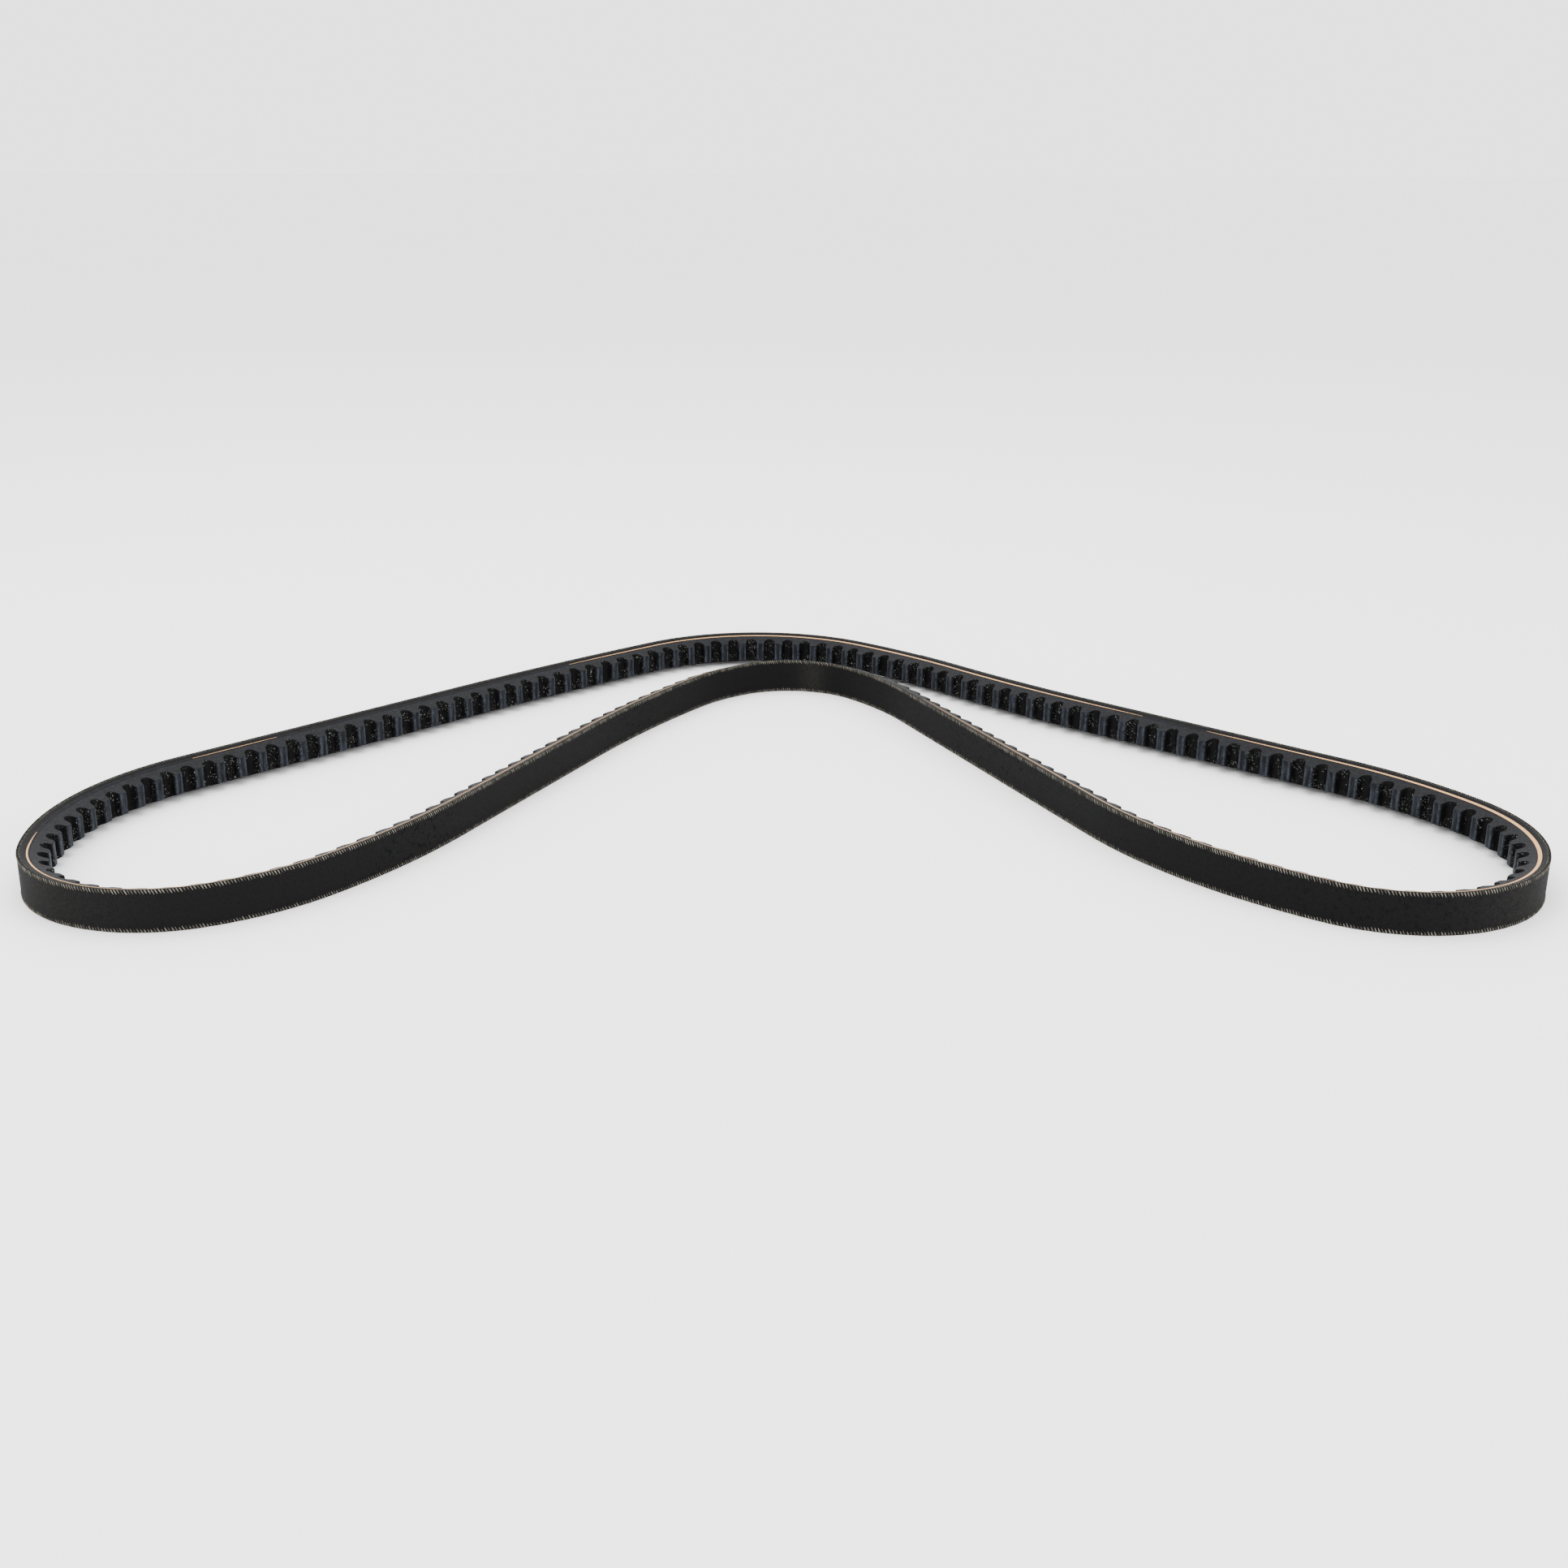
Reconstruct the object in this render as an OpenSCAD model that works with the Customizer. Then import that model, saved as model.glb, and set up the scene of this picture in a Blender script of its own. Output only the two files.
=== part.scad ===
// Raw-edge cogged V-belt, endless, lying on its edge in its relaxed bent shape.
// The belt is built of bonded layers, and each layer is cut into nine spans.
// Neighbouring spans turn on each other about the cord line, where a real belt flexes.
// Millimetres, +Z up, origin under the middle of the belt, resting plane at z = 0.

/* [Section] */
// Width across the back
top_width = 13; // [12.9:0.1:13.3]
// Thickness from the back to the cog tips
thickness = 9; // [8.8:0.1:9.4]
// Slope of each flank, measured from the belt's centre plane
flank_angle = 19; // [17:0.5:20]
// Thickness of one fabric ply
ply = 0.55; // [0.45:0.05:0.65]
// Depth of the cord line under the back
cord_depth = 3; // [2.9:0.05:3.1]
// Diameter of one tension cord
cord_d = 1; // [0.8:0.05:1]
// Turns of cord side by side
cord_turns = 9; // [7:2:9]

/* [Loop] */
// Length of the belt along its cords
belt_length = 1500; // [1480:5:1540]
// Depth of the valleys between the cogs
valley_depth = 3.3; // [3:0.1:3.5]
// Width of a cog at its tip
cog_tip = 2.7; // [2.4:0.1:3]
// Radius at the bottom of a valley
valley_root_r = 2.2; // [2:0.1:2.4]

/* [Span joints] */
// Radius of the round end of a span
knuckle_r = 3.2; // [3.15:0.05:3.3]
// Clearance around a round end
knuckle_gap = 0.2; // [0.15:0.05:0.3]
// Gap at the seam in the middle of the front run
seam_gap = 0.2; // [0.15:0.05:0.3]

/* [Hidden] */
$fn = 48;
bend_facets = 250;
cord_facets = 24;
mid_z = top_width / 2;
cord_spacing = 1.25;

// Depths of the layers under the back, and the cog tips' place inwards of the cord line.
gum_half = 0.7;
cushion_top = 2 * ply;
gum_top = cord_depth - gum_half;
gum_bottom = cord_depth + gum_half;
tip_y = cord_depth - thickness;

// Where a valley's round bottom meets its sloping sides, as a share of its radius.
throat_share = 0.97;

// How far a cutting tool reaches past what it cuts.
reach = 1;
knuckle_overrun = knuckle_r + reach;

// How the swept pieces of a layer are joined: see along().
shortest_piece = 0.01;
hair = 0.01;
lap_length = 0.4;

// The loop, clockwise from above, as stretches of [radius, turn]. A radius is positive where the
// belt bends towards its inside, and a straight stretch is [STRAIGHT, length].
STRAIGHT = 0;
start_heading = 46.5;
REAR_RIGHT_STRAIGHT = 6;
FRONT_LEFT_STRAIGHT = 16;
function stretches(rear_right, front_left) = [
    [STRAIGHT, 123], [1150, 5], [66, 42], [64, 40], [269, 11.5], [-580, 7],
    [STRAIGHT, rear_right],
    [149, 20], [58, 53.5], [44, 99.5], [169, 31],
    [STRAIGHT, 136.5],
    [-117, 18.5], [-34, 84.5], [-71, 21.5], [-460, 9.5],
    [STRAIGHT, front_left],
    [241, 14], [84, 26], [43, 102], [92, 56.5]
];

// How far a stretch turns, how long it is, and how far it leads from a given heading.
function turn(stretch) = stretch[0] == STRAIGHT ? 0 : sign(stretch[0]) * stretch[1];
function run(stretch) = stretch[0] == STRAIGHT ? stretch[1] : abs(stretch[0]) * stretch[1] * PI / 180;
function step(stretch, heading) = stretch[0] == STRAIGHT
    ? stretch[1] * [cos(heading), sin(heading)]
    : let (after = heading - turn(stretch))
        stretch[0] * [sin(heading) - sin(after), cos(after) - cos(heading)];

// The heading and the place of a path's corner i, with the path's start at the origin.
function total(list) = len(list) == 0 ? 0 : [for (v = list) 1] * list;
function heading_in(path, i) = start_heading - total([for (j = [0:1:i - 1]) turn(path[j])]);
function offset_to(path, i) = i == 0
    ? [0, 0]
    : offset_to(path, i - 1) + step(path[i - 1], heading_in(path, i - 1));

// The two free straights close the loop: their lengths solve a pair of linear equations.
open_loop = stretches(0, 0);
miss = offset_to(open_loop, len(open_loop));
h_rear = heading_in(open_loop, REAR_RIGHT_STRAIGHT);
h_front = heading_in(open_loop, FRONT_LEFT_STRAIGHT);
closing = sin(h_front - h_rear);
rear_right_straight = (miss.y * cos(h_front) - miss.x * sin(h_front)) / closing;
front_left_straight = (miss.x * sin(h_rear) - miss.y * cos(h_rear)) / closing;
unit_loop = stretches(rear_right_straight, front_left_straight);
scale_up = belt_length / total([for (stretch = unit_loop) run(stretch)]);
function scaled(stretch) = stretch[0] == STRAIGHT
    ? [STRAIGHT, stretch[1] * scale_up]
    : [stretch[0] * scale_up, stretch[1]];
loop = [for (stretch = unit_loop) scaled(stretch)];
count = len(loop);
headings = [for (i = [0:count - 1]) heading_in(loop, i)];
corners = [for (i = [0:count - 1]) offset_to(loop, i)];
stations = [for (i = [0:count]) total([for (j = [0:1:i - 1]) run(loop[j])])];

// Place and heading at a distance d along the cord line, before the loop is centred.
function stretch_at(d) = max([for (i = [0:count - 1]) d >= stations[i] ? i : 0]);
function part_of(stretch, d) = stretch[0] == STRAIGHT
    ? [STRAIGHT, d]
    : [stretch[0], d / abs(stretch[0]) * 180 / PI];
function laps(d) = floor(d / belt_length);
function wrap(d) = d - laps(d) * belt_length;
function heading_at(d) = let (i = stretch_at(wrap(d)))
    headings[i] - turn(part_of(loop[i], wrap(d) - stations[i])) - 360 * laps(d);
function loose_point(d) = let (i = stretch_at(wrap(d)))
    corners[i] + step(part_of(loop[i], wrap(d) - stations[i]), headings[i]);
function outward(d) = [-sin(heading_at(d)), cos(heading_at(d))];

// The origin is the middle of the back's outline seen from above.
outline_step = 0.5;
outline = [for (d = [0:outline_step:belt_length]) loose_point(d) + cord_depth * outward(d)];
function middle(values) = (min(values) + max(values)) / 2;
centre = [middle([for (p = outline) p.x]), middle([for (p = outline) p.y])];
function point_at(d) = loose_point(d) - centre;

// Cogs are evenly pitched along the cord line; valley k is centred at valley(k).
cog_count = 178;
cog_pitch = belt_length / cog_count;
first_valley = 0.82;
function valley(k) = (k + first_valley) * cog_pitch;

// Each span is [name, first valley, last valley, how it starts, how it ends].
SOCKET = "socket";
KNUCKLE = "knuckle";
SEAM = "seam";
SPANS = [
    ["rear_center", 25, 40, SOCKET, KNUCKLE],
    ["rear_right", 40, 72, SOCKET, KNUCKLE],
    ["right_end", 72, 77, SOCKET, KNUCKLE],
    ["front_right", 77, 114, SOCKET, KNUCKLE],
    ["front_center_right", 114, 120, SOCKET, SEAM],
    ["front_center_left", 120, 127, SEAM, KNUCKLE],
    ["front_left", 127, 163, SOCKET, KNUCKLE],
    ["left_end", 163, 170, SOCKET, KNUCKLE],
    ["rear_left", 170, 203, SOCKET, KNUCKLE]
];
LAYERS = ["outer_ply", "inner_ply", "cushion", "bonding_gum", "tension_cords", "cogged_base"];

// Half of the belt's width at a depth under the back. The outer ply is cut square.
function half_width(depth) = mid_z - max(0, depth - ply) * tan(flank_angle);

// A band of the belt's section between two depths: x points outwards from the cord line, y is z.
module band(top, bottom) {
    upper_half = half_width(top) - $slim;
    lower_half = half_width(bottom) - $slim;
    polygon([
        [cord_depth - top - $slim, mid_z - upper_half],
        [cord_depth - bottom + $slim, mid_z - lower_half],
        [cord_depth - bottom + $slim, mid_z + lower_half],
        [cord_depth - top - $slim, mid_z + upper_half]
    ]);
}

module square_band(top, bottom) {
    translate([cord_depth - bottom + $slim, $slim])
        square([bottom - top - 2 * $slim, top_width - 2 * $slim]);
}

module cord_section(spare) {
    for (i = [0:cord_turns - 1])
        translate([0, mid_z + (i - (cord_turns - 1) / 2) * cord_spacing])
            circle(r = cord_d / 2 + spare, $fn = cord_facets);
}

module gum_section() {
    difference() {
        band(gum_top, gum_bottom);
        cord_section($slim);
    }
}

// Stands the children on the cord line, with x pointing along the belt and y outwards.
module at(d) {
    translate(concat(point_at(d), 0)) rotate([0, 0, heading_at(d)]) children();
}

// Sweeps the children's section along stretch i, between two distances from its start.
module sweep(i, from, to) {
    radius = abs(loop[i][0]);
    h = headings[i];
    corner = corners[i] - centre;
    if (radius == STRAIGHT) {
        translate(concat(corner + from * [cos(h), sin(h)], 0))
            rotate([90, 0, h + 90]) linear_extrude(to - from) children();
    } else {
        inwards = sign(loop[i][0]) * [sin(h), -cos(h)];
        degrees = 180 / PI / radius;
        translate(concat(corner + radius * inwards, 0))
            if (loop[i][0] > 0) {
                start = h + 90 - to * degrees;
                rotate_extrude(angle = (to - from) * degrees, start = start, $fn = bend_facets)
                    translate([radius, 0]) children();
            } else {
                start = h - 90 + from * degrees;
                rotate_extrude(angle = (to - from) * degrees, start = start, $fn = bend_facets)
                    translate([radius, 0]) mirror([1, 0]) children();
            }
    }
}

// The loop between two distances, as pieces of [stretch, from, to].
function pieces(from, to) = [
    for (lap = [0, 1], i = [0:count - 1])
        let (base = stations[i] + lap * belt_length)
        let (start = max(from - base, 0))
        let (finish = min(to - base, stations[i + 1] - stations[i]))
            if (finish - start > shortest_piece) [i, start, finish]
];

// Sweeps the children's section along a run of pieces. Every other piece is a hair slimmer and
// reaches a little way into both neighbours, which joins them soundly.
module along(run_of) {
    for (i = [0:len(run_of) - 1]) {
        $slim = i % 2 == 0 ? 0 : hair;
        before = i % 2 == 0 ? 0 : lap_length;
        after = i % 2 == 0 || i == len(run_of) - 1 ? 0 : lap_length;
        sweep(run_of[i][0], run_of[i][1] - before, run_of[i][2] + after) children();
    }
}

// What is cut from the end of a span whose far side is round.
module round_off() {
    difference() {
        translate([0, -thickness, -reach])
            cube([knuckle_overrun + reach, 2 * thickness, top_width + 2 * reach]);
        translate([0, 0, -2 * reach]) cylinder(r = knuckle_r, h = top_width + 4 * reach);
    }
}

module hollow_out() {
    translate([0, 0, -reach]) cylinder(r = knuckle_r + knuckle_gap, h = top_width + 2 * reach);
}

// A span's own length, with its round end, its hollow end or its plain seam end.
module span_body(span) {
    from = valley(span[1]) + (span[3] == SEAM ? seam_gap / 2 : 0);
    to = valley(span[2]) + (span[4] == SEAM ? -seam_gap / 2 : knuckle_overrun);
    difference() {
        along(pieces(from, to)) children();
        if (span[3] == SOCKET) at(valley(span[1])) hollow_out();
        if (span[4] == KNUCKLE) at(valley(span[2])) round_off();
    }
}

// The round-bottomed gap between two cogs, right through the belt's width. The cogs keep their
// shape, so a valley closes up where the belt bends inwards and opens where it bends outwards.
module valley_cut(k) {
    root_y = tip_y + valley_depth - valley_root_r;
    mouth_y = tip_y - reach;
    bend = heading_at(valley(k) - cog_pitch / 2) - heading_at(valley(k) + cog_pitch / 2);
    throat = throat_share * valley_root_r;
    lip = (cog_pitch + tip_y * bend * PI / 180 - cog_tip) / 2;
    mouth = throat + (lip - throat) * (root_y - mouth_y) / (root_y - tip_y);
    translate([0, 0, -reach]) {
        translate([0, root_y, 0]) cylinder(r = valley_root_r, h = top_width + 2 * reach);
        linear_extrude(top_width + 2 * reach)
            polygon([[-throat, root_y], [-mouth, mouth_y], [mouth, mouth_y], [throat, root_y]]);
    }
}

module outer_ply(span) {
    color("#1d1d1f") span_body(span) square_band(0, ply);
}

module inner_ply(span) {
    color("#2a2a2d") span_body(span) band(ply, cushion_top);
}

module cushion(span) {
    color("#303035") span_body(span) band(cushion_top, gum_top);
}

module bonding_gum(span) {
    color("#1a1a1c") span_body(span) gum_section();
}

module tension_cords(span) {
    color("#d8b48a") span_body(span) cord_section(-$slim);
}

module cogged_base(span) {
    color("#2d2d34") difference() {
        span_body(span) band(gum_bottom, thickness);
        for (k = [span[1]:span[2]]) at(valley(k)) valley_cut(k);
    }
}

module part_node(span, layer) {
    if (layer == "outer_ply") outer_ply(span);
    if (layer == "inner_ply") inner_ply(span);
    if (layer == "cushion") cushion(span);
    if (layer == "bonding_gum") bonding_gum(span);
    if (layer == "tension_cords") tension_cords(span);
    if (layer == "cogged_base") cogged_base(span);
}

for (span = SPANS, layer = LAYERS)
    part_node(span, layer);
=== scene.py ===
"""A raw-edge cogged V belt, standing on its edge in a loose boomerang loop on a white table."""

from math import atan2, ceil, cos, floor, pi, radians, sin, tan

import bmesh
import bpy
import numpy as np
from mathutils import Matrix, Vector


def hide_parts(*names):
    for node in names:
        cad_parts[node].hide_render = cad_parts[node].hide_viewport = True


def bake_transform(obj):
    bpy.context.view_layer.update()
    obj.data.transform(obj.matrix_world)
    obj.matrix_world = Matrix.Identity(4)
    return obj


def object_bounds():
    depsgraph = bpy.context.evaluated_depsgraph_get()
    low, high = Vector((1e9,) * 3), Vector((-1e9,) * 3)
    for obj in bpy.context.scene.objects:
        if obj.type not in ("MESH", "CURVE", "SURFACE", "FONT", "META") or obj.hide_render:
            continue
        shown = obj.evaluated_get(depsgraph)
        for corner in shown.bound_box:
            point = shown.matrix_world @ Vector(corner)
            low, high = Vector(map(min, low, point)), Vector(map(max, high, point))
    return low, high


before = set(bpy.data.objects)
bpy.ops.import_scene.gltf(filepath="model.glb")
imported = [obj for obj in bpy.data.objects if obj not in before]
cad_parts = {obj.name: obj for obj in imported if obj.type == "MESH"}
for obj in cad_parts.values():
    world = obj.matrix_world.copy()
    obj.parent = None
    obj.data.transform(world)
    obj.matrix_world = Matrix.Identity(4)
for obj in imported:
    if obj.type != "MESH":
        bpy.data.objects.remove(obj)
CAD_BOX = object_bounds()

# ---- The belt's design, in millimetres and degrees, as in the CAD part ----
# Depths are measured from the belt's back, and y outwards from the middle of its cords.

MM = 0.001
LENGTH = 1500.0
COGS = 178
PITCH = LENGTH / COGS
FIRST_VALLEY = 0.82
WIDTH = CAD_BOX[1].z / MM
MIDDLE = WIDTH / 2
PLY = 0.55
CUSHION_TOP = 2 * PLY
GUM_TOP, GUM_BOTTOM = 2.3, 3.7
CORD_DEPTH, CORD_RADIUS, CORD_TURNS, CORD_SPACING = 3.0, 0.48, 9, 1.25
CORD_TWISTS = 1200
THICKNESS = 9.0
FLANK_ANGLE = radians(19)
TIP_Y = CORD_DEPTH - THICKNESS
VALLEY_DEPTH, ROOT_RADIUS, THROAT, COG_TIP = 3.3, 2.2, 2.134, 2.7
CREST_ROUND = 0.35

# The loop's stretches as (radius, turn), or (0, length) for a straight one. A turn to the right
# has a positive radius. The loop runs clockwise, seen from above. The two straight stretches with
# three decimals are what closes it.
STRETCHES = [
    (0, 123), (1150, 5), (66, 42), (64, 40), (269, 11.5), (-580, 7), (0, 101.153),
    (149, 20), (58, 53.5), (44, 99.5), (169, 31), (0, 136.5),
    (-117, 18.5), (-34, 84.5), (-71, 21.5), (-460, 9.5), (0, 91.515),
    (241, 14), (84, 26), (43, 102), (92, 56.5),
]
START_HEADING = radians(46.5)

# Each body's first and last valley, in order along the belt.
BODIES = [
    ("rear_center", 25, 40), ("rear_right", 40, 72), ("right_end", 72, 77),
    ("front_right", 77, 114), ("front_center_right", 114, 120),
    ("front_center_left", 120, 127), ("front_left", 127, 163),
    ("left_end", 163, 170), ("rear_left", 170, 203),
]
SEAM = 120
LONGEST_BLEND = 40.0

# Where the cut cord shows on the flank, as (distance along the belt, width of the cut).
CORD_CUT = [
    (0, 0), (6, 0.1), (16, 0.16), (34, 0.1), (44, 0), (170, 0), (200, 0.3), (260, 0.52),
    (330, 0.62), (400, 0.55), (445, 0.3), (468, 0), (486, 0), (505, 0.3), (560, 0.62),
    (610, 0.95), (640, 1.12), (670, 1.0), (720, 0.72), (840, 0.66), (915, 0.4), (945, 0),
    (1045, 0), (1075, 0.4), (1200, 0.55), (1330, 0.6), (1390, 0.62), (1412, 0.4), (1426, 0),
    (1500, 0),
]
LOWER_CORD_CUT = [
    (0, 0), (620, 0), (665, 0.5), (900, 0.6), (955, 0), (1045, 0), (1100, 0.5), (1350, 0.55),
    (1400, 0), (1500, 0),
]
THREAD_ENDS = 1666
# Tufts as (shift along, outwards, in from the edge, thickness) at four points of their length.
OUTER_TUFT = [
    (-0.5, 2.99, 1.25, 0.06), (-0.18, 3.04, 0.5, 0.17), (0.1, 2.96, 0.0, 0.17), (0.3, 2.6, 0.01, 0.08),
]
INNER_TUFT = [
    (-0.2, 2.4, 0.05, 0.05), (-0.08, 2.3, 0.05, 0.14), (0.05, 2.15, 0.1, 0.14), (0.18, 2.0, 0.16, 0.05),
]
SHORTEST_TUFT, LONGEST_TUFT, TUFT_LEAN = 0.75, 1.1, 0.06
LAP_AT, LAP_STEP, LAP_FADE = 349.0, 0.32, 80.0

# Worn stretches of the back: (middle, half length, strength).
GREYED = [(664, 26, 0.5), (1381, 34, 0.45), (1010, 6, 0.8), (640, 60, 0.15), (1350, 70, 0.12)]
PITTED = [(882, 28, 1.0), (1258, 22, 1.0), (1116, 12, 0.9), (700, 60, 0.4)]


def stations():
    """Each stretch's start distance, point, heading and size, and the scale to the real length."""
    point, heading, total, rows = np.zeros(2), START_HEADING, 0.0, []
    for radius, size in STRETCHES:
        rows.append((total, point, heading, radius, size))
        if radius == 0:
            point = point + size * np.array([cos(heading), sin(heading)])
            total += size
        else:
            centre = point + radius * np.array([sin(heading), -cos(heading)])
            heading -= np.sign(radius) * radians(size)
            point = centre - radius * np.array([sin(heading), -cos(heading)])
            total += abs(radius) * radians(size)
    return rows, LENGTH / total


ROWS, SCALE_UP = stations()
STARTS = np.array([row[0] for row in ROWS]) * SCALE_UP


def cord_line(s):
    """Points and headings of the cord line at distances s, before it is moved into place."""
    s = np.mod(s, LENGTH)
    which = np.clip(np.searchsorted(STARTS, s, side="right") - 1, 0, len(ROWS) - 1)
    points, headings = np.zeros((len(s), 2)), np.zeros(len(s))
    for i in np.unique(which):
        chosen = which == i
        _, corner, heading, radius, _ = ROWS[i]
        d = s[chosen] - STARTS[i]
        if radius == 0:
            turned = np.full(len(d), heading)
            found = corner * SCALE_UP + d[:, None] * [cos(heading), sin(heading)]
        else:
            r = radius * SCALE_UP
            centre = corner * SCALE_UP + r * np.array([sin(heading), -cos(heading)])
            turned = heading - d / r
            found = centre - r * np.stack([np.sin(turned), -np.cos(turned)], 1)
        points[chosen], headings[chosen] = found, turned
    return points, headings


def outline_shift():
    """What moves the loop's own outline onto the CAD model's box."""
    points, headings = cord_line(np.arange(0, LENGTH, 0.5))
    outside = points + CORD_DEPTH * np.stack([-np.sin(headings), np.cos(headings)], 1)
    box_middle = np.array((CAD_BOX[0] + CAD_BOX[1]) / 2)[:2] / MM
    return box_middle - (outside.min(0) + outside.max(0)) / 2


SHIFT = outline_shift()


def place(s, y):
    """Points of the belt in plan: s along the cord line, y outwards from it."""
    points, headings = cord_line(s)
    outward = np.stack([-np.sin(headings), np.cos(headings)], 1)
    return points + SHIFT + np.asarray(y)[:, None] * outward


def valley_at(k):
    return (k + FIRST_VALLEY) * PITCH


def half_width(depth):
    return MIDDLE - np.maximum(0, depth - PLY) * tan(FLANK_ANGLE)


def laid_round(s, y, z):
    """The same points with the belt opened to a circle, which gives the textures no seam."""
    angle = 2 * pi * s / LENGTH
    r = LENGTH / (2 * pi) + y
    return np.stack([r * np.cos(angle), r * np.sin(angle), z], -1)


def lumps(laid, size):
    """Gentle irregular lumps from -1 to 1, of about the given size."""
    q = laid * (2 * pi / size)
    a = np.sin(q[..., 0] + 1.7 * np.sin(q[..., 1] * 0.61 + 0.4) + 0.8 * q[..., 2])
    b = np.sin(q[..., 1] * 1.13 + 1.3 * np.sin(q[..., 2] * 0.83 + 1.9) + 2.1)
    c = np.sin(q[..., 2] * 1.21 + 1.1 * np.sin(q[..., 0] * 0.71 + 0.7))
    return (a * b + b * c + c * a) / 3


def patches(s, rows):
    """How worn the belt is at distances s, from rows of (middle, half length, strength)."""
    s = np.mod(s, LENGTH)
    worn = np.zeros(np.shape(s))
    for middle, half, strength in rows:
        worn = np.maximum(worn, strength * np.exp(-(((s - middle) / half) ** 2)))
    return worn


# ---- Meshes ----


def build(name, xyz, faces, s, y, extra, material, sharp=35):
    """A mesh piece from points in millimetres, with the attributes that its material reads."""
    mesh = bpy.data.meshes.new(name)
    mesh.from_pydata((xyz * MM).tolist(), [], faces)
    values = {"along": s, "deep": CORD_DEPTH - y, "tall": xyz[:, 2], **extra}
    for key, column in values.items():
        mesh.attributes.new(key, "FLOAT", "POINT").data.foreach_set(
            "value", np.asarray(column, np.float32)
        )
    laid = laid_round(s, y, xyz[:, 2]).astype(np.float32)
    mesh.attributes.new("laid", "FLOAT_VECTOR", "POINT").data.foreach_set("vector", laid.ravel())
    b = bmesh.new()
    b.from_mesh(mesh)
    bmesh.ops.recalc_face_normals(b, faces=b.faces)
    b.to_mesh(mesh)
    b.free()
    mesh.shade_smooth()
    mesh.set_sharp_from_angle(angle=radians(sharp))
    mesh.materials.append(material)
    piece = bpy.data.objects.new(name, mesh)
    bpy.context.scene.collection.objects.link(piece)
    return piece


def tube_faces(rings, size, first=0):
    """Faces of a closed tube of rings, with both ends capped."""
    faces = []
    for i in range(rings - 1):
        for j in range(size):
            k = (j + 1) % size
            a, b = first + i * size, first + (i + 1) * size
            faces.append((a + j, a + k, b + k, b + j))
    faces.append(tuple(first + j for j in range(size))[::-1])
    faces.append(tuple(first + (rings - 1) * size + j for j in range(size)))
    return faces


def swept(name, s, ring_y, ring_z, material, **extra):
    """Sweeps a closed ring along the belt. ring_y and ring_z are (stations, ring points)."""
    rings, size = ring_y.shape
    s = np.repeat(s, size)
    y = ring_y.ravel()
    xyz = np.column_stack([place(s, y), ring_z.ravel()])
    extra = {key: np.asarray(v).ravel() for key, v in extra.items()}
    return build(name, xyz, tube_faces(rings, size), s, y, extra, material)


def spaced(start, end, step):
    return np.linspace(start, end, max(2, int(round((end - start) / step)) + 1))


def band_ring(top, bottom, across, bevel):
    """A band's closed section with eased corners, as the depth and the height of each point."""
    down = np.array([top, top + bevel, bottom - bevel, bottom])
    inset = np.array([bevel, 0, 0, bevel])
    flank_z = half_width(down) - inset
    back = np.linspace(-flank_z[0], flank_z[0], across)
    front = np.linspace(flank_z[3], -flank_z[3], 5)
    depth = np.concatenate([np.full(across, top), down[1:3], np.full(5, bottom), down[2:0:-1]])
    z = np.concatenate([back, flank_z[1:3], front, -flank_z[2:0:-1]])
    return depth, MIDDLE + z


def band_piece(name, start, end, top, bottom, material, across=5, bevel=0.05, step=1.25):
    s = spaced(start, end, step)
    depth, z = band_ring(top, bottom, across, bevel)
    ring_y = np.tile(CORD_DEPTH - depth, (len(s), 1))
    ring_z = np.tile(z, (len(s), 1))
    return swept(name, s, ring_y, ring_z, material)


def lap_drop(s):
    """How far the back lies lower before the lap splice, where the fabric is single."""
    before = LAP_AT - np.mod(s, LENGTH)
    return np.where(before > 0, LAP_STEP * np.exp(-((before / LAP_FADE) ** 2)), 0.0)


def back_ply(name, start, end, material):
    """The outer fabric: square cut, softly uneven, with the lap splice's step in its back."""
    s = spaced(start, end, 0.9)
    lap = LAP_AT if start < LAP_AT < end else LAP_AT + LENGTH
    if start < lap < end:
        s = np.sort(np.append(s[abs(s - lap) > 0.2], [lap - 0.12, lap + 0.01]))
    across, bevel = 27, 0.12
    heights = np.linspace(bevel, WIDTH - bevel, across)
    depth = np.concatenate([np.zeros(across), [bevel, PLY], [PLY], [bevel]])
    z = np.concatenate([heights, [WIDTH, WIDTH], [0.0], [0.0]])
    ring_s = np.repeat(s[:, None], len(depth), 1)
    ring_z = np.tile(z, (len(s), 1))
    on_back = np.tile(depth == 0, (len(s), 1))
    laid = laid_round(ring_s, 0 * ring_s, ring_z)
    uneven = 0.035 * (1 + lumps(laid, 9.0)) / 2 + 0.02 * (1 + lumps(laid, 2.3)) / 2
    ragged = lap_drop(ring_s + 0.25 * lumps(laid, 3.1) * (abs(ring_s - lap) > 1))
    ring_y = CORD_DEPTH - depth - np.where(on_back, uneven, 0) - np.where(depth < PLY, ragged, 0)
    return swept(
        name, s, ring_y, ring_z, material,
        greyed=patches(ring_s, GREYED), pitted=patches(ring_s, PITTED),
    )


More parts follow.
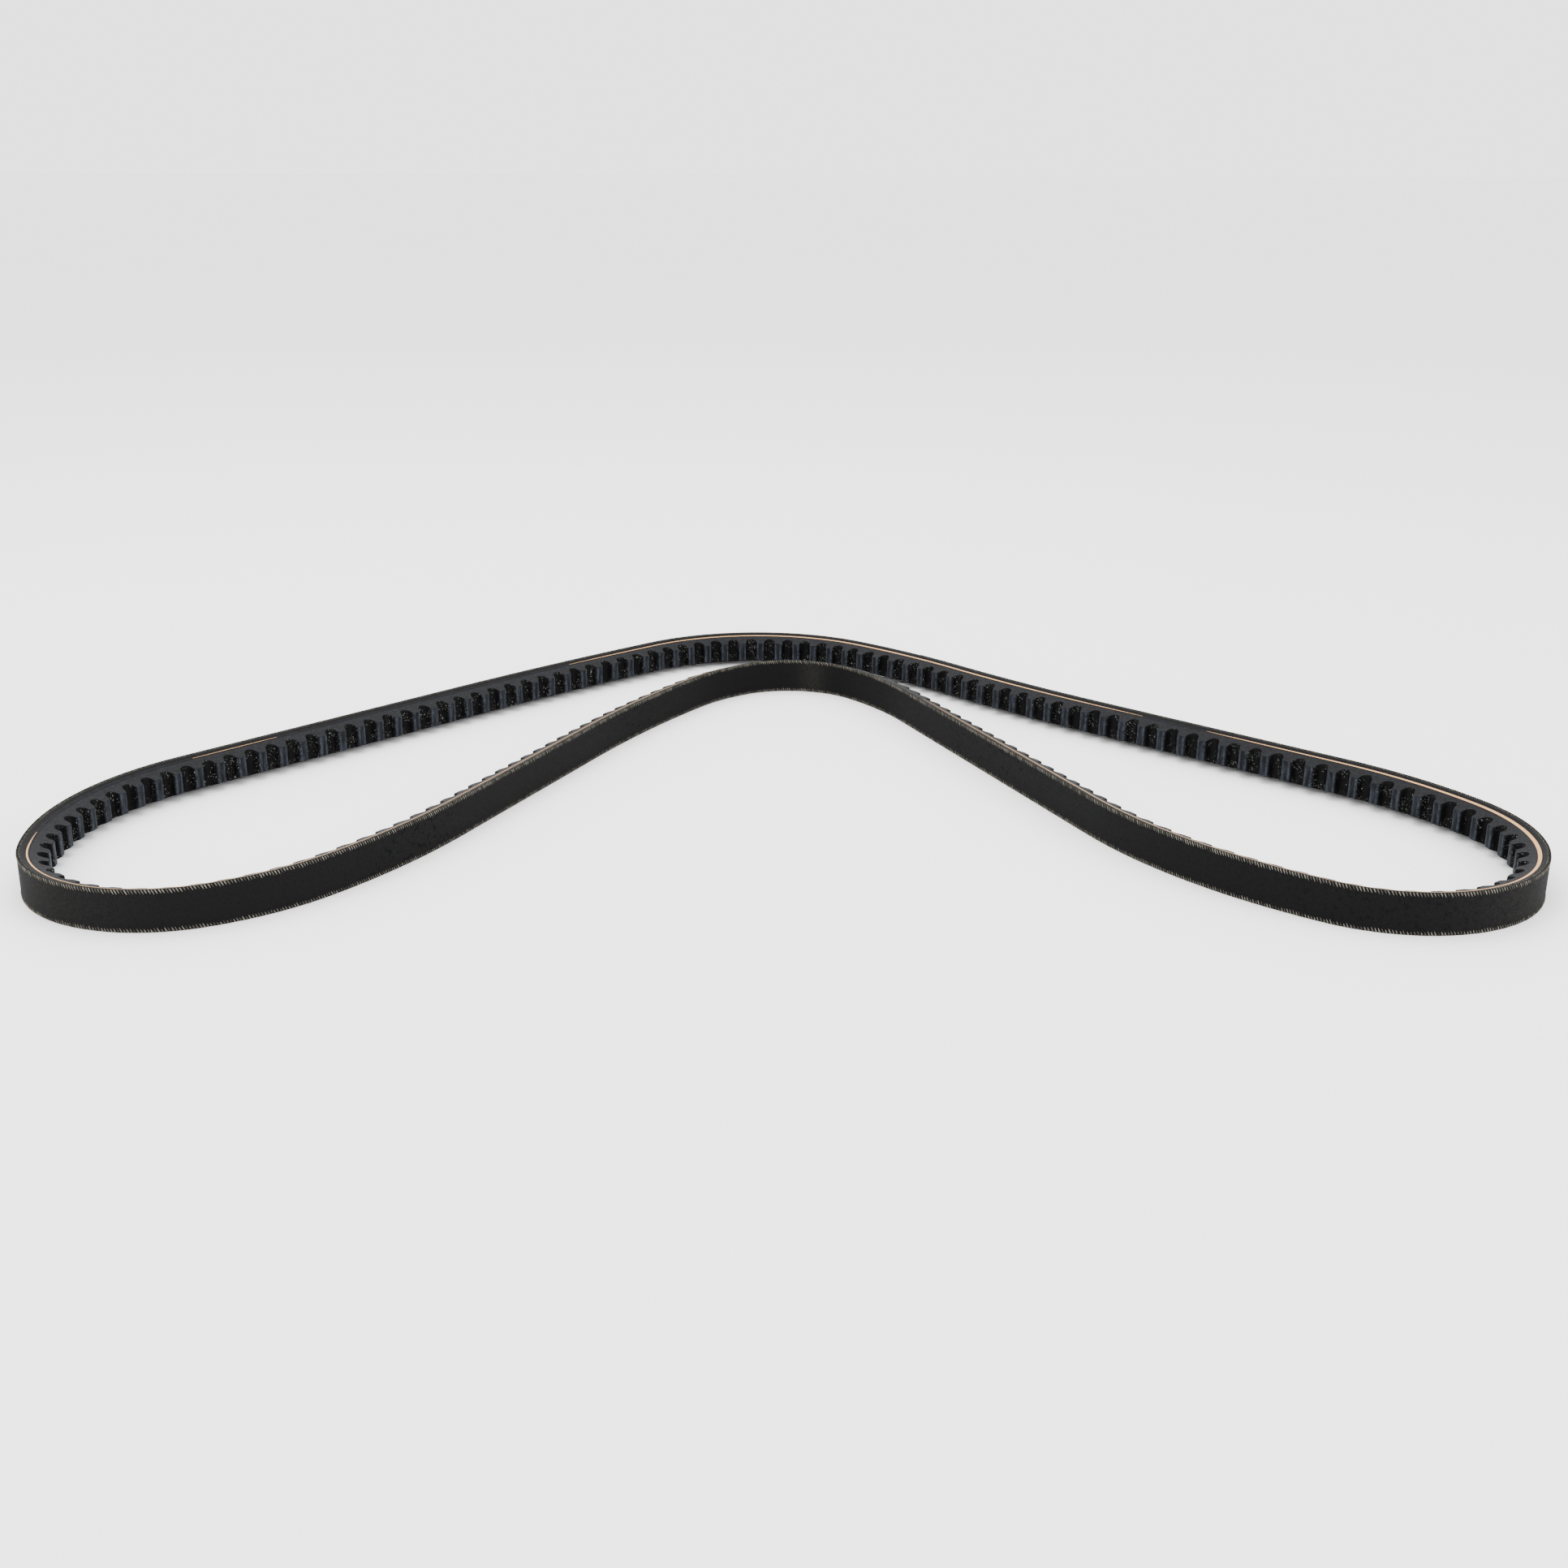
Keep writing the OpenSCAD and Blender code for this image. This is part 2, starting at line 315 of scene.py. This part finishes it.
def thread_ends(name, start, end, material, rng):
    """The cut ends of the fabric's threads: slanted tufts over both edges, in two rows."""
    spacing = LENGTH / THREAD_ENDS
    s, y, z, pale, faces = [], [], [], [], []
    for j in range(ceil(start / spacing), ceil(end / spacing)):
        for edge in (0, 1):
            for row in (OUTER_TUFT, INNER_TUFT):
                first = len(s)
                length, bright = rng.uniform(SHORTEST_TUFT, LONGEST_TUFT), rng.uniform(0.2, 1.0)
                lean = rng.uniform(-TUFT_LEAN, TUFT_LEAN)
                lean += 0.45 * spacing if row is INNER_TUFT else 0
                side = 1 if edge else -1
                for shift, out, from_edge, thick in row:
                    centre_s = j * spacing + lean + shift * length * side
                    inset = from_edge * length if row is OUTER_TUFT else from_edge
                    height = WIDTH - inset if edge else inset
                    away = np.array([out - 2.6, side * (0.6 - inset)])
                    away = away / np.linalg.norm(away) * thick * 0.55
                    for ds, dy in ((-thick, 0), (0, 1), (thick, 0), (0, -1)):
                        s.append(centre_s + ds)
                        y.append(out + away[0] * dy)
                        z.append(min(max(height + away[1] * dy, 0.005), WIDTH - 0.005))
                        pale.append(bright)
                faces += tube_faces(4, 4, first)
    s, y, z = np.array(s), np.array(y), np.array(z)
    y = y - lap_drop(s) * (y > 2.5)
    xyz = np.column_stack([place(s, y), z])
    return build(name, xyz, faces, s, y, {"pale": pale}, material, sharp=70)


def cord_cut(s, rows):
    """Width of the cord's cut face on a flank, from rows of (distance, width)."""
    where, width = zip(*rows)
    return np.interp(np.mod(s, LENGTH), where, width)


def cord_pieces(name, start, end, material):
    """The nine turns of cord inside the belt, and their cut faces on both flanks."""
    s_all, y_all, z_all, faces = [], [], [], []
    s = spaced(start, end, 2.5)
    turn = np.linspace(0, 2 * pi, 8, endpoint=False)
    for i in range(CORD_TURNS):
        height = MIDDLE + (i - (CORD_TURNS - 1) / 2) * CORD_SPACING
        faces += tube_faces(len(s), len(turn), sum(map(len, s_all)))
        s_all.append(np.repeat(s, len(turn)))
        y_all.append(np.tile(CORD_RADIUS * np.sin(turn), len(s)))
        z_all.append(np.tile(height + CORD_RADIUS * np.cos(turn), len(s)))
    fine = spaced(start, end, 1.0)
    share = np.array([-0.5, -0.36, 0, 0.36, 0.5, 0.4, -0.4])
    proud = np.array([0.0, 0.035, 0.05, 0.035, 0.0, -0.12, -0.12])
    for side, rows in ((1, CORD_CUT), (-1, LOWER_CORD_CUT)):
        width = cord_cut(fine, rows)
        shown = width > 0.06
        edges = np.flatnonzero(np.diff(np.concatenate([[0], shown.astype(int), [0]])))
        for a, b in zip(edges[::2], edges[1::2]):
            if b - a < 2:
                continue
            t, w = fine[a:b], width[a:b]
            depth = CORD_DEPTH + w[:, None] * share[None, :]
            z = MIDDLE + side * (half_width(depth) + proud[None, :])
            faces += tube_faces(len(t), len(share), sum(map(len, s_all)))
            s_all.append(np.repeat(t, len(share)))
            y_all.append((CORD_DEPTH - depth).ravel())
            z_all.append(z.ravel())
    s, y, z = (np.concatenate(rows) for rows in (s_all, y_all, z_all))
    return build(name, np.column_stack([place(s, y), z]), faces, s, y, {}, material, sharp=60)


def bend_per_pitch(k):
    ends = cord_line(np.array([valley_at(k) - PITCH / 2, valley_at(k) + PITCH / 2]))[1]
    return atan2(sin(ends[0] - ends[1]), cos(ends[0] - ends[1]))


def valley_outline(k):
    """A valley's outline in its own frame, from one crest to the next: x, y, crest, edge."""
    root_y = TIP_Y + VALLEY_DEPTH - ROOT_RADIUS
    lip = (PITCH + TIP_Y * bend_per_pitch(k) - COG_TIP) / 2
    flare = (lip - THROAT) / (root_y - TIP_Y)
    round_root = np.linspace(0, 1.4, 7)
    # The crest column runs from the valley's painted shade at the root, 0, to the crest colour, 1.
    rows = [(ROOT_RADIUS * sin(a), root_y + ROOT_RADIUS * cos(a), 0, 0) for a in round_root]
    rows.append((THROAT + flare * 0.45, root_y - 0.45, 0.15, 0))
    # The edge column weights the crest corners' paler colour: partly wear, partly a painted highlight
    # along the rounded corners.
    rows.append((lip - flare * CREST_ROUND, TIP_Y + CREST_ROUND, 0.4, 0.6))
    rows.append((lip + 0.29 * CREST_ROUND, TIP_Y + 0.29 * CREST_ROUND, 0.8, 1.0))
    rows.append((lip + CREST_ROUND, TIP_Y, 1, 0.7))
    rows = np.array(rows)
    left = rows[:0:-1] * [-1, 1, 1, 1]
    return np.vstack([left, rows])


def cog_profile(first, last):
    """The base's underside, as rows of (valley number, plan x, plan y, depth, crest, edge)."""
    found = []
    corners = {}
    for k in range(floor(first) - 1, ceil(last) + 2):
        outline = valley_outline(k)
        bend = bend_per_pitch(k) / PITCH
        centre, heading = cord_line(np.array([valley_at(k)]))
        forward = np.array([cos(heading[0]), sin(heading[0])])
        outward = np.array([-forward[1], forward[0]])
        x, y = outline[:, 0], outline[:, 1]
        plan = centre[0] + SHIFT + x[:, None] * forward + y[:, None] * outward
        if abs(bend) > 1e-6:
            ahead = np.arctan2(x * bend, 1 + y * bend) / bend
            out = (np.hypot(x * bend, 1 + y * bend) - 1) / bend
        else:
            ahead, out = x, y
        for i in range(len(x)):
            found.append((k + ahead[i] / PITCH, *plan[i], CORD_DEPTH - out[i], *outline[i, 2:]))
        corners[k] = (np.array(found[-len(x)]), np.array(found[-1]))
    for k in range(floor(first) - 1, ceil(last) + 1):
        a, b = corners[k][1], corners[k + 1][0]
        for share in (0.25, 0.5, 0.75):
            row = a + (b - a) * share
            row[0] = k + 0.5 + (share - 0.5) * (b[0] - a[0])
            row[5] = 0
            found.append(tuple(row))
    found = np.array(sorted(found))
    return found[(found[:, 0] > first - 1e-6) & (found[:, 0] < last + 1e-6)]


def cogged_base(name, first, last, material):
    """The cogs and the base above them: flanks, valleys and crests, with eased edges."""
    rows = cog_profile(first, last)
    s = valley_at(rows[:, 0])
    top = place(s, np.full(len(s), CORD_DEPTH - GUM_BOTTOM))
    low, depth = rows[:, 1:3], rows[:, 3]
    across, chamfer = 9, 0.13
    share = np.array([0, 0.33, 0.66])
    edge_share = 1 - chamfer / (depth - GUM_BOTTOM)
    down = np.column_stack([np.tile(share, (len(s), 1)), edge_share])
    flank_depth = GUM_BOTTOM + down * (depth - GUM_BOTTOM)[:, None]
    flank_z = half_width(flank_depth)
    under_z = (half_width(depth) - chamfer)[:, None] * np.linspace(1, -1, across)
    z = MIDDLE + np.hstack([flank_z, under_z, -flank_z[:, ::-1]])
    reach = np.hstack([down, np.ones((len(s), across)), down[:, ::-1]])
    plan = top[:, None, :] + reach[:, :, None] * (low - top)[:, None, :]
    deep = GUM_BOTTOM + reach * (depth - GUM_BOTTOM)[:, None]
    size = z.shape[1]
    ring_s = np.repeat(s[:, None], size, 1)
    under = np.zeros(z.shape)
    under[:, 4:4 + across] = 1
    laid = laid_round(ring_s, CORD_DEPTH - deep, z)
    inward = (top - low) / np.linalg.norm(top - low, axis=1)[:, None]
    rough = under * (0.03 + 0.03 * lumps(laid, 1.9) + 0.02 * lumps(laid, 0.8))
    plan = plan + inward[:, None, :] * rough[:, :, None]
    xyz = np.column_stack([plan.reshape(-1, 2), z.ravel()])
    extra = {
        "under": under.ravel(),
        "crest": np.repeat(rows[:, 4], size),
        "edge": np.repeat(rows[:, 5], size),
    }
    faces = tube_faces(len(s), size)
    y = (CORD_DEPTH - deep).ravel()
    return build(name, xyz, faces, ring_s.ravel(), y, extra, material, sharp=38)


# ---- Materials ----


def linear(level):
    share = level / 255
    return share / 12.92 if level <= 10 else ((share + 0.055) / 1.055) ** 2.4


def srgb(*levels):
    return (*(linear(level) for level in levels), 1.0)


class Finish:
    """A procedural material, with short calls for the nodes that it uses."""

    def __init__(self, name, roughness, specular=0.5):
        self.material = bpy.data.materials.new(name)
        self.material.use_nodes = True
        self.tree = self.material.node_tree
        self.shader = self.tree.nodes["Principled BSDF"]
        self.shader.inputs["Specular IOR Level"].default_value = specular
        self.shader.inputs["Roughness"].default_value = roughness

    def node(self, kind, output, settings=None, **inputs):
        made = self.tree.nodes.new(kind)
        for key, value in (settings or {}).items():
            setattr(made, key, value)
        for key, value in inputs.items():
            socket = made.inputs[int(key[1:])] if key[0] == "_" else made.inputs[key.replace("_", " ")]
            if isinstance(value, bpy.types.NodeSocket):
                self.tree.links.new(value, socket)
            else:
                socket.default_value = value
        return made.outputs[output]

    def attribute(self, name, output="Fac"):
        return self.node("ShaderNodeAttribute", output, {"attribute_name": name})

    def calc(self, operation, a, b=0.0, c=0.0, clamp=False):
        settings = {"operation": operation, "use_clamp": clamp}
        return self.node("ShaderNodeMath", 0, settings, _0=a, _1=b, _2=c)

    def stretched(self, vector, x, y, z):
        return self.node("ShaderNodeVectorMath", 0, {"operation": "MULTIPLY"}, _0=vector, _1=(x, y, z))

    def noise(self, vector, size, detail=2.0, roughness=0.5):
        return self.node(
            "ShaderNodeTexNoise", "Fac",
            Vector=vector, Scale=1 / size, Detail=detail, Roughness=roughness,
        )

    def step(self, value, low, high, to_low=0.0, to_high=1.0):
        return self.node(
            "ShaderNodeMapRange", 0, {"interpolation_type": "SMOOTHSTEP"},
            _0=value, _1=low, _2=high, _3=to_low, _4=to_high,
        )

    def mix(self, share, a, b):
        made = self.tree.nodes.new("ShaderNodeMix")
        made.data_type = "RGBA"
        for socket, value in ((made.inputs[0], share), (made.inputs[6], a), (made.inputs[7], b)):
            if isinstance(value, bpy.types.NodeSocket):
                self.tree.links.new(value, socket)
            else:
                socket.default_value = value
        return made.outputs[2]

    def near(self, value, middle, half):
        """1 at middle, falling to 0 at half away from it."""
        away = self.calc("ABSOLUTE", self.calc("SUBTRACT", value, middle))
        return self.step(away, half, 0.0)

    def done(self, colour, roughness=None, height=None, relief=0.1):
        links = self.tree.links
        links.new(colour, self.shader.inputs["Base Color"])
        if roughness is not None:
            links.new(roughness, self.shader.inputs["Roughness"])
        if height is not None:
            bump = self.node("ShaderNodeBump", 0, Strength=1.0, Distance=relief * MM, Height=height)
            links.new(bump, self.shader.inputs["Normal"])
        return self.material


def weave(f, along, tall, rise):
    """Crossing bias threads, as heights from 0 to 1. They close up around the whole belt."""
    turn = f.calc("MULTIPLY", along, 2 * pi * THREAD_ENDS / LENGTH)
    lift = f.calc("MULTIPLY", tall, 2 * pi / rise)
    left = f.calc("SINE", f.calc("ADD", turn, lift))
    right = f.calc("SINE", f.calc("SUBTRACT", turn, lift))
    return f.calc("MULTIPLY_ADD", f.calc("MAXIMUM", left, right), 0.5, 0.5)


def back_fabric():
    f = Finish("back_fabric", 0.7, 0.05)
    laid, along, tall = f.attribute("laid", "Vector"), f.attribute("along"), f.attribute("tall")
    threads = weave(f, along, tall, 0.84)
    speck = f.noise(laid, 0.45, 3.0, 0.7)
    cloud = f.noise(laid, 9.0, 4.0, 0.6)
    broken = f.noise(laid, 0.8, 4.0, 0.7)
    colour = f.mix(threads, srgb(3, 3, 3), srgb(15, 15, 16))
    colour = f.mix(f.step(cloud, 0.4, 0.75, 0.0, 0.4), colour, srgb(11, 12, 12))
    colour = f.mix(f.step(speck, 0.66, 0.8, 0.0, 0.5), colour, srgb(52, 52, 50))
    worn = f.calc("MULTIPLY", f.attribute("greyed"), f.step(broken, 0.3, 0.7, 0.15, 1.0))
    grey = f.mix(threads, srgb(10, 10, 9), srgb(42, 41, 38))
    colour = f.mix(f.calc("MULTIPLY", worn, 0.8), colour, grey)
    pits = f.calc("MULTIPLY", f.attribute("pitted"), f.step(f.noise(laid, 1.5, 2.0), 0.56, 0.66))
    colour = f.mix(pits, colour, srgb(1, 1, 1))
    height = f.calc("ADD", f.calc("MULTIPLY", threads, 0.6), f.calc("MULTIPLY", speck, 0.4))
    height = f.calc("SUBTRACT", height, f.calc("MULTIPLY", pits, 1.6))
    return f.done(colour, f.step(speck, 0.3, 0.8, 0.85, 0.6), height, 0.1)


def flank_fabric():
    f = Finish("flank_fabric", 0.85, 0.04)
    laid, deep = f.attribute("laid", "Vector"), f.attribute("deep")
    fibre = f.noise(laid, 0.3, 3.0, 0.7)
    colour = f.mix(fibre, srgb(4, 4, 4), srgb(26, 25, 23))
    line = f.near(deep, 1.08, 0.11)
    colour = f.mix(f.calc("MULTIPLY", line, 0.75), colour, srgb(62, 60, 55))
    return f.done(colour, None, fibre, 0.08)


def tuft_fibre():
    f = Finish("tuft_fibre", 0.8, 0.05)
    fibre = f.noise(f.attribute("laid", "Vector"), 0.2, 2.0)
    pale = f.calc("MULTIPLY", f.attribute("pale"), f.step(fibre, 0.2, 0.7, 0.55, 1.0))
    return f.done(f.mix(pale, srgb(12, 12, 11), srgb(118, 114, 104)), None, fibre, 0.05)


def cut_rubber(name, dark, light, line_at):
    """Ground rubber of the flanks, mottled, with a dark line at the depth line_at."""
    f = Finish(name, 0.6, 0.06)
    laid, deep = f.attribute("laid", "Vector"), f.attribute("deep")
    mottle = f.noise(laid, 1.3, 4.0, 0.65)
    grain = f.noise(laid, 0.25, 2.0, 0.6)
    colour = f.mix(f.step(mottle, 0.3, 0.7), dark, light)
    colour = f.mix(f.step(grain, 0.62, 0.8, 0.0, 0.4), colour, srgb(42, 43, 48))
    edge = f.near(deep, line_at, 0.16)
    colour = f.mix(f.calc("MULTIPLY", edge, 0.85), colour, srgb(2, 2, 2))
    return f.done(colour, f.step(grain, 0.2, 0.8, 0.68, 0.5), f.calc("ADD", mottle, grain), 0.06)


def cord_fibre():
    f = Finish("cord_fibre", 0.62, 0.4)
    laid, along, deep = f.attribute("laid", "Vector"), f.attribute("along"), f.attribute("deep")
    turn = f.calc("MULTIPLY", along, 2 * pi * CORD_TWISTS / LENGTH)
    twist = f.calc("ADD", turn, f.calc("MULTIPLY", deep, 5.5))
    strand = f.calc("SINE", f.calc("ADD", twist, f.calc("MULTIPLY", f.noise(laid, 1.6), 5.0)))
    fibre = f.noise(laid, 0.35, 3.0, 0.6)
    colour = f.mix(f.step(fibre, 0.25, 0.75), srgb(168, 122, 74), srgb(206, 162, 108))
    colour = f.mix(f.step(strand, 0.55, 1.0, 0.0, 0.45), colour, srgb(116, 80, 46))
    rim = f.step(f.calc("ABSOLUTE", f.calc("SUBTRACT", deep, CORD_DEPTH)), 0.42, 0.6)
    colour = f.mix(f.calc("MULTIPLY", rim, 0.6), colour, srgb(88, 60, 36))
    return f.done(colour, None, f.calc("ADD", strand, fibre), 0.05)


def base_rubber():
    """Fibre-loaded rubber: mottled flanks, valleys near-black in painted shade with pale fibre flecks,
    smeared crests with paler corners, partly wear and partly painted highlight.
    """
    f = Finish("base_rubber", 0.6, 0.07)
    laid = f.attribute("laid", "Vector")
    under, crest, edge = f.attribute("under"), f.attribute("crest"), f.attribute("edge")
    mottle = f.noise(laid, 1.4, 4.0, 0.65)
    grain = f.noise(laid, 0.3, 2.0, 0.6)
    flank = f.mix(f.step(mottle, 0.3, 0.7), srgb(5, 5, 7), srgb(18, 19, 23))
    flank = f.mix(f.step(grain, 0.62, 0.8, 0.0, 0.4), flank, srgb(44, 45, 52))
    fleck = f.step(f.noise(laid, 0.4, 1.0, 0.4), 0.64, 0.72)
    fleck = f.calc("MULTIPLY", fleck, f.step(f.noise(laid, 3.2, 2.0), 0.42, 0.6))
    # The valley colour is painted darker than the crests and flanks as shade in the cog recesses; the
    # pale fibre flecks are the rubber's own.
    valley = f.mix(fleck, srgb(3, 3, 4), srgb(118, 120, 114))
    smear = f.noise(f.stretched(laid, 1.0, 1.0, 0.16), 0.9, 3.0, 0.6)
    top = f.mix(f.step(smear, 0.4, 0.72), srgb(6, 7, 9), srgb(29, 32, 39))
    # Paler crest corners: partly wear, partly a painted highlight along the rounded corners.
    top = f.mix(f.calc("MULTIPLY", edge, f.step(mottle, 0.35, 0.65, 0.1, 0.6)), top, srgb(62, 67, 76))
    # The crest attribute blends the valley's painted shade into the crest colour, so the walls lighten
    # outwards.
    below = f.mix(crest, valley, top)
    colour = f.mix(under, flank, below)
    height = f.calc("ADD", f.calc("ADD", mottle, grain), f.calc("MULTIPLY", fleck, 0.8))
    return f.done(colour, f.step(grain, 0.2, 0.8, 0.7, 0.46), height, 0.07)


def table_top():
    f = Finish("table_top", 0.6, 0.2)
    place_of = f.node("ShaderNodeTexCoord", "Object")
    cloud = f.noise(place_of, 0.35, 2.0)
    colour = f.mix(cloud, (0.93, 0.93, 0.93, 1), (0.96, 0.96, 0.96, 1))
    return f.done(colour, None, f.noise(place_of, 0.004), 0.02)


# ---- The belt ----

FINISHES = {
    "cover": back_fabric(),
    "inner": flank_fabric(),
    "tufts": tuft_fibre(),
    "cushion": cut_rubber("cushion_rubber", srgb(3, 3, 4), srgb(11, 11, 13), GUM_TOP),
    "gum": cut_rubber("gum_rubber", srgb(5, 5, 7), srgb(18, 19, 23), GUM_TOP),
    "cord": cord_fibre(),
    "base": base_rubber(),
}


def middle_of(first, last):
    """The cog nearest the middle of a body, as a valley number and a half."""
    return floor((first + last) / 2) + 0.5


def segments():
    """The belt's lengths between the middles of two jointed bodies: names, ends, hinge."""
    rows = []
    for i, (body, first, last) in enumerate(BODIES):
        after, _, after_last = BODIES[(i + 1) % len(BODIES)]
        if last == SEAM:
            continue
        if after_last < last:
            after_last += COGS
        start = SEAM if first == SEAM else middle_of(first, last)
        end = SEAM if after_last == SEAM else middle_of(last, after_last)
        rows.append((body, after, start, last, end))
    return rows


def blend_span(start, hinge, end):
    """Two points either side of a hinge, along the belt's heading there, at its middle height."""
    here = place(np.array([valley_at(start), valley_at(hinge), valley_at(end)]), np.zeros(3))
    heading = cord_line(np.array([valley_at(hinge)]))[1][0]
    forward = np.array([cos(heading), sin(heading)])
    room = [abs((here[i] - here[1]) @ forward) for i in (0, 2)]
    reach = min(LONGEST_BLEND, 0.93 * min(room))
    ends = [(here[1] + side * reach * forward) * MM for side in (-1, 1)]
    return [Vector((*end_point, MIDDLE * MM)) for end_point in ends]


def belt_length(body, after, first, hinge, last, rng):
    """All layers of one length of the belt, in place of its two bodies' CAD parts, which are hidden."""
    a, b = valley_at(first), valley_at(last)
    name = f"{body}_to_{after}"
    outer = back_ply(f"{name}_outer_ply", a, b, FINISHES["cover"])
    tufts = thread_ends(f"{name}_thread_ends", a, b, FINISHES["tufts"], rng)
    inner = band_piece(f"{name}_inner_ply", a, b, PLY, CUSHION_TOP, FINISHES["inner"])
    cushion = band_piece(f"{name}_cushion", a, b, CUSHION_TOP, GUM_TOP, FINISHES["cushion"])
    gum = band_piece(f"{name}_gum", a, b, GUM_TOP, GUM_BOTTOM, FINISHES["gum"])
    cords = cord_pieces(f"{name}_cords", a, b, FINISHES["cord"])
    cogs = cogged_base(f"{name}_cogs", first, last, FINISHES["base"])
    made = [
        ("outer_ply", "cover_fabric", outer),
        ("outer_ply", "cover_fabric", tufts),
        ("inner_ply", "inner_fabric", inner),
        ("cushion", "cushion_rubber", cushion),
        ("bonding_gum", "gum_rubber", gum),
        ("tension_cords", "polyester_cord", cords),
        ("cogged_base", "base_rubber", cogs),
    ]
    start, end = blend_span(first, hinge, last)
    for layer, slot, piece in made:
        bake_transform(piece)
        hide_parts(f"{body}_{layer}", f"{after}_{layer}")


# ---- Table, lights and camera ----

WORLD_STRENGTH = 2.7
TABLE_SIZE, TABLE_GAP = 60, 0.0001
# The photograph's view: lens in millimetres, angles in degrees, and the camera's place in metres
# from the middle of the belt, with its height above the resting plane.
LENS, LENS_SHIFT = 42.1, 0.0282
LOOK_DOWN, LOOK_ASIDE, LEAN = 18.748, -0.539, 0.126
CAMERA_X, CAMERA_Y, CAMERA_HEIGHT = -0.018288, -0.627627, 0.207355


def table():
    height = CAD_BOX[0].z - TABLE_GAP
    bpy.ops.mesh.primitive_plane_add(size=TABLE_SIZE, location=(0, 0, height))
    plane = bpy.context.object
    plane.name = "table_top"
    plane.data.materials.append(table_top())


def softbox(name, position, target, size, power):
    light = bpy.data.lights.new(name, "AREA")
    light.shape = "DISK"
    light.size = size
    light.energy = power
    lamp = bpy.data.objects.new(name, light)
    lamp.location = position
    lamp.rotation_euler = (Vector(target) - Vector(position)).to_track_quat("-Z", "Y").to_euler()
    bpy.context.scene.collection.objects.link(lamp)


def lights():
    middle = (CAD_BOX[0] + CAD_BOX[1]) / 2
    world = bpy.data.worlds.new("studio")
    world.use_nodes = True
    background = world.node_tree.nodes["Background"]
    background.inputs["Color"].default_value = (1, 1, 1, 1)
    background.inputs["Strength"].default_value = WORLD_STRENGTH
    bpy.context.scene.world = world
    softbox("overhead", middle + Vector((-0.2, 0.25, 1.1)), middle, 1.0, 12)
    softbox("front_left", middle + Vector((-0.9, -0.9, 0.8)), middle, 0.7, 9)
    softbox("front_right", middle + Vector((1.0, -0.6, 0.6)), middle, 0.6, 7)


def camera():
    """The photograph's view: from the front, a little above the table."""
    middle = (CAD_BOX[0] + CAD_BOX[1]) / 2
    data = bpy.data.cameras.new("camera")
    data.sensor_width = 36
    data.lens = LENS
    data.shift_x = LENS_SHIFT
    data.clip_start, data.clip_end = 0.01, 50
    view = bpy.data.objects.new("camera", data)
    aside = Matrix.Rotation(radians(LOOK_ASIDE), 4, "Z")
    down = Matrix.Rotation(radians(90 - LOOK_DOWN), 4, "X")
    lean = Matrix.Rotation(radians(LEAN), 4, "Z")
    position = Matrix.Translation((middle.x + CAMERA_X, middle.y + CAMERA_Y, CAMERA_HEIGHT))
    view.matrix_world = position @ aside @ down @ lean
    bpy.context.scene.collection.objects.link(view)
    bpy.context.scene.camera = view


camera()
lights()
table()
tuft_random = np.random.default_rng(7)
for belt_part in segments():
    belt_length(*belt_part, tuft_random)
